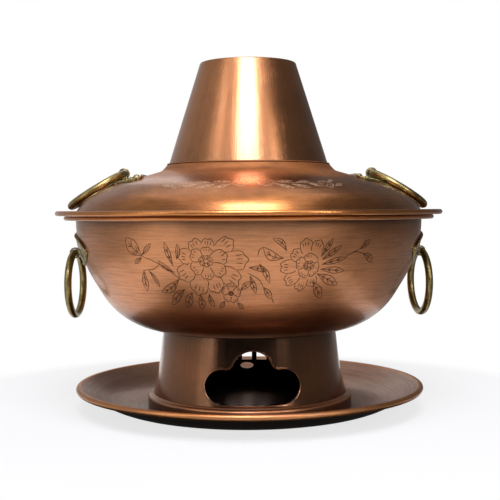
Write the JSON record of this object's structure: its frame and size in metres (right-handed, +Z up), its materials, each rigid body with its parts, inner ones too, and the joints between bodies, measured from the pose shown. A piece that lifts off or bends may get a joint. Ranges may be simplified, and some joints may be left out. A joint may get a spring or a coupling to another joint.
{
  "type": "chimney hot pot",
  "caption": "Copper chimney hot pot: a ring bowl round a charcoal fire tube with grate and flue, lift-off annular lid, swinging ring handles, vented pedestal and drip tray",
  "frame": {"origin": "centre of the tray's underside, on the table", "axes": "+Z up, -Y towards the cloud vent, +X and -X towards the ring handles"},
  "size_m": [0.336, 0.336, 0.301],
  "materials": {
    "copper": "antiqued copper, spun and satin brushed",
    "stack_copper": "antiqued copper, brushed along the stack",
    "tray_copper": "antiqued copper, satin",
    "brass": "cast brass, aged",
    "iron": "as cast, sooty"
  },
  "bodies": {
    "tray": {"tray_dish": "tray_copper", "tray_rim_wire": "tray_copper"},
    "pot": {"bowl": "copper", "bowl_rim_wire": "copper", "fire_tube": "stack_copper", "chimney": "stack_copper", "pedestal": "stack_copper", "foot_ring": "stack_copper", "grate": "iron", "grate_bars": "iron", "grate_brackets": "iron", "bowl_plate_left": "brass", "bowl_plate_right": "brass", "bowl_lug_left": "brass", "bowl_lug_right": "brass", "bowl_rivets_left": "copper", "bowl_rivets_right": "copper"},
    "lid": {"lid_shell": "copper", "lid_rim_wire": "copper", "lid_neck_bead": "copper", "lid_skirt": "copper", "lid_plate_left": "brass", "lid_plate_right": "brass", "lid_lug_left": "brass", "lid_lug_right": "brass", "lid_rivets_left": "copper", "lid_rivets_right": "copper"},
    "pot_handle_left": {"bowl_ring_left": "brass"},
    "pot_handle_right": {"bowl_ring_right": "brass"},
    "lid_handle_left": {"lid_ring_left": "brass"},
    "lid_handle_right": {"lid_ring_right": "brass"}
  },
  "joints": [
    {"name": "pot_lift", "type": "slide", "parent": "tray", "child": "pot", "axis": [0, 0, 1], "range_m": [0, 0.04]},
    {"name": "lid_lift", "type": "slide", "parent": "pot", "child": "lid", "axis": [0, 0, 1], "range_m": [0, 0.15]},
    {"name": "pot_handle_right_hinge", "type": "hinge", "parent": "pot", "child": "pot_handle_right", "pos_m": [0.15404, 0.01077, 0.13561], "axis": [0.1115, -0.9938, 0], "range_deg": [-15, 135]},
    {"name": "pot_handle_left_hinge", "type": "hinge", "parent": "pot", "child": "pot_handle_left", "pos_m": [-0.15404, 0.01077, 0.13561], "axis": [0.1115, 0.9938, 0], "range_deg": [-15, 135]},
    {"name": "lid_handle_right_hinge", "type": "hinge", "parent": "lid", "child": "lid_handle_right", "pos_m": [0.10984, 0.00768, 0.20533], "axis": [0.0517, -0.9982, -0.0298], "range_deg": [0, 150]},
    {"name": "lid_handle_left_hinge", "type": "hinge", "parent": "lid", "child": "lid_handle_left", "pos_m": [-0.10984, 0.00768, 0.20533], "axis": [0.0517, 0.9982, 0.0298], "range_deg": [0, 150]}
  ]
}
